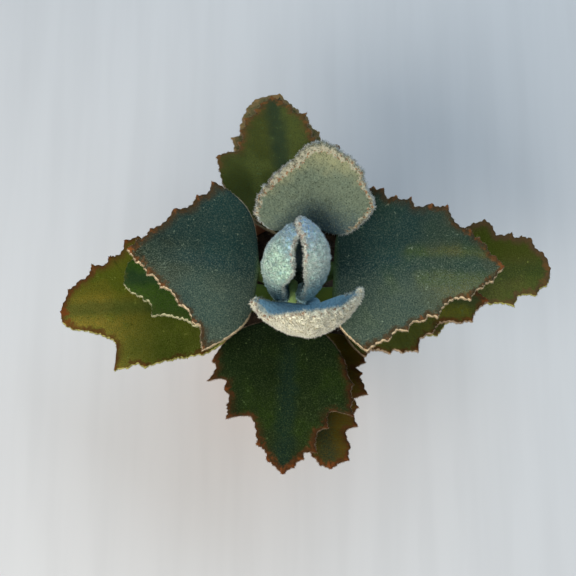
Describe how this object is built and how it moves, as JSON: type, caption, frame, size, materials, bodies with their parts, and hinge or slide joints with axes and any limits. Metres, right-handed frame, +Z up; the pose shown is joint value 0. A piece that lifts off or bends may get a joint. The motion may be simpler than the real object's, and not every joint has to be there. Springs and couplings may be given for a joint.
{
  "type": "potted fang kalanchoe",
  "caption": "Young felt-leaved fang kalanchoe with crossed pairs of lobed, brown-toothed leaves on a short stem, in a plain terracotta pot.",
  "frame": {"origin": "on the surface the pot stands on, under the middle of the object's box", "axes": "+Z up, +X to the right of the picture, +Y towards its top"},
  "size_m": [0.2116, 0.168, 0.1576],
  "materials": {
    "terracotta": "matte",
    "soil": "rough",
    "stem": "rough",
    "leaf_bud": "felted",
    "leaf_young": "felted",
    "leaf_large": "felted",
    "leaf_middle": "felted",
    "leaf_lowest": "felted"
  },
  "bodies": {
    "root": {"pot": "terracotta", "soil": "soil", "stem_and_roots": "stem", "bud_leaf_left": "leaf_bud", "bud_leaf_right": "leaf_bud", "young_leaf_back": "leaf_young", "young_leaf_front": "leaf_young", "large_leaf_left": "leaf_large", "large_leaf_right": "leaf_large", "large_leaf_back": "leaf_middle", "large_leaf_front": "leaf_middle", "middle_leaf_left": "leaf_middle", "middle_leaf_right": "leaf_middle", "lower_leaf_back": "leaf_middle", "lower_leaf_front": "leaf_middle", "lowest_leaf_left": "leaf_lowest", "lowest_leaf_right": "leaf_lowest"}
  },
  "joints": []
}
